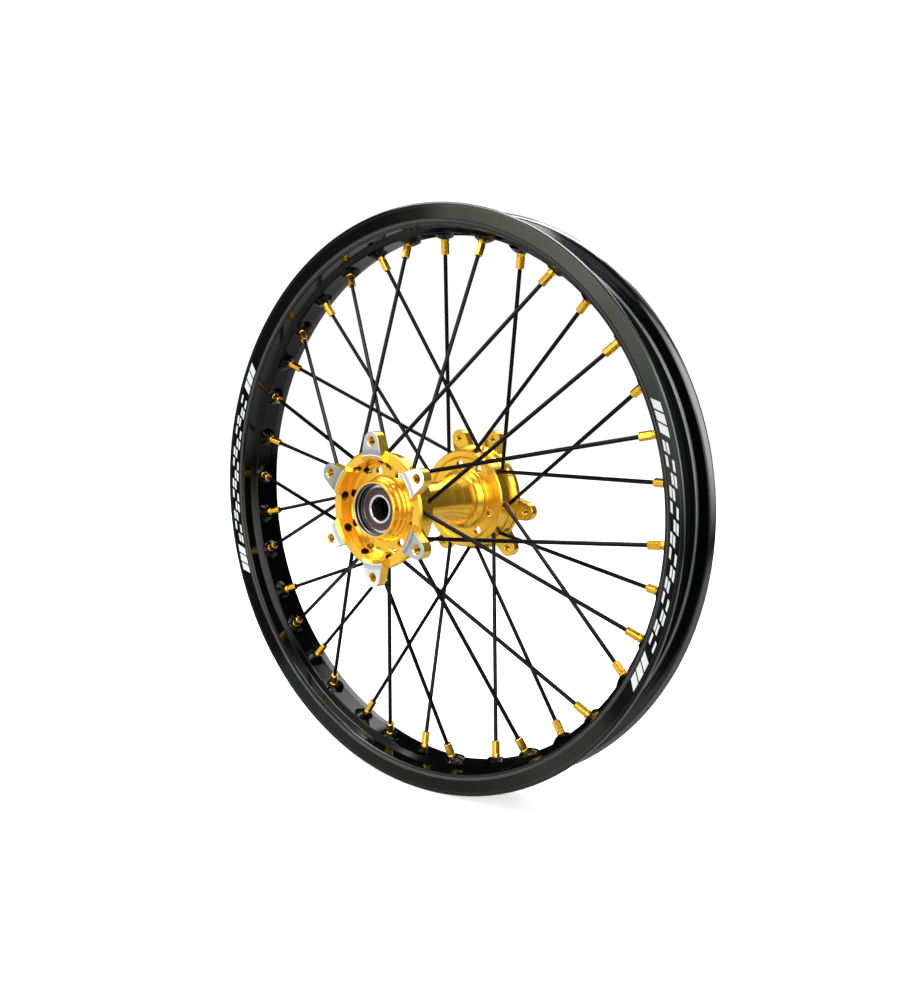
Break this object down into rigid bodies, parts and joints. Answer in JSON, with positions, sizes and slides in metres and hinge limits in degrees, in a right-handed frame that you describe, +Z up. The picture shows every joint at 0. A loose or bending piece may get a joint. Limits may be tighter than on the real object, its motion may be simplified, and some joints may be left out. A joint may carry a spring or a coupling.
{
  "type": "spoked motorcycle wheel",
  "caption": "Spoked off-road motorcycle rear wheel without tyre: black rim, gold hub with sprocket and brake-disc lugs, sealed bearings, crossed black spokes with gold nipples.",
  "frame": {"origin": "centre of the wheel: on the spin axis, midway between the rim's two flanges", "axes": "+Y along the spin axis towards the brake-disc side, -Y is the sprocket side, +Z is up, +X is forward"},
  "size_m": [0.512, 0.148, 0.512],
  "materials": {
    "rim_black": "satin black anodised aluminium",
    "hub_gold": "gold anodised, lug faces and bearing seats machined bright",
    "spoke_black": "satin black steel",
    "nipple_gold": "gold anodised",
    "spacer_aluminium": "turned",
    "stripe_white": "printed film",
    "bearing_steel": "ground",
    "ball_steel": "polished",
    "cage_steel": "pressed steel",
    "seal_rubber": "dark brown rubber"
  },
  "bodies": {
    "axle_core": {"bearing_inner_ring_sprocket_side": "bearing_steel", "bearing_inner_ring_disc_side": "bearing_steel", "axle_spacer_tube": "spacer_aluminium"},
    "wheel": {"rim": "rim_black", "hub_body": "hub_gold", "spokes_sprocket_outer": "spoke_black", "spokes_sprocket_inner": "spoke_black", "spokes_disc_outer": "spoke_black", "spokes_disc_inner": "spoke_black", "nipples_sprocket_outer": "nipple_gold", "nipples_sprocket_inner": "nipple_gold", "nipples_disc_outer": "nipple_gold", "nipples_disc_inner": "nipple_gold", "stripes_right": "stripe_white", "stripes_left": "stripe_white", "bearing_outer_ring_sprocket_side": "bearing_steel", "bearing_seal_sprocket_side_minus": "seal_rubber", "bearing_seal_sprocket_side_plus": "seal_rubber", "bearing_outer_ring_disc_side": "bearing_steel", "bearing_seal_disc_side_minus": "seal_rubber", "bearing_seal_disc_side_plus": "seal_rubber"},
    "ball_set_sprocket_side": {"bearing_balls_sprocket_side": "ball_steel", "bearing_cage_sprocket_side": "cage_steel"},
    "ball_set_disc_side": {"bearing_balls_disc_side": "ball_steel", "bearing_cage_disc_side": "cage_steel"}
  },
  "joints": [
    {"name": "wheel_spin", "type": "hinge", "parent": "axle_core", "child": "wheel", "pos_m": [0, 0, 0], "axis": [0, 1, 0], "continuous": true},
    {"name": "ball_orbit_sprocket_side", "type": "hinge", "parent": "axle_core", "child": "ball_set_sprocket_side", "pos_m": [0, -0.064, 0], "axis": [0, 1, 0], "continuous": true},
    {"name": "ball_orbit_disc_side", "type": "hinge", "parent": "axle_core", "child": "ball_set_disc_side", "pos_m": [0, 0.05, 0], "axis": [0, 1, 0], "continuous": true}
  ],
  "couplings": [
    {"joint": "ball_orbit_sprocket_side", "follows": "wheel_spin", "ratio": 0.60242},
    {"joint": "ball_orbit_disc_side", "follows": "wheel_spin", "ratio": 0.60242}
  ]
}
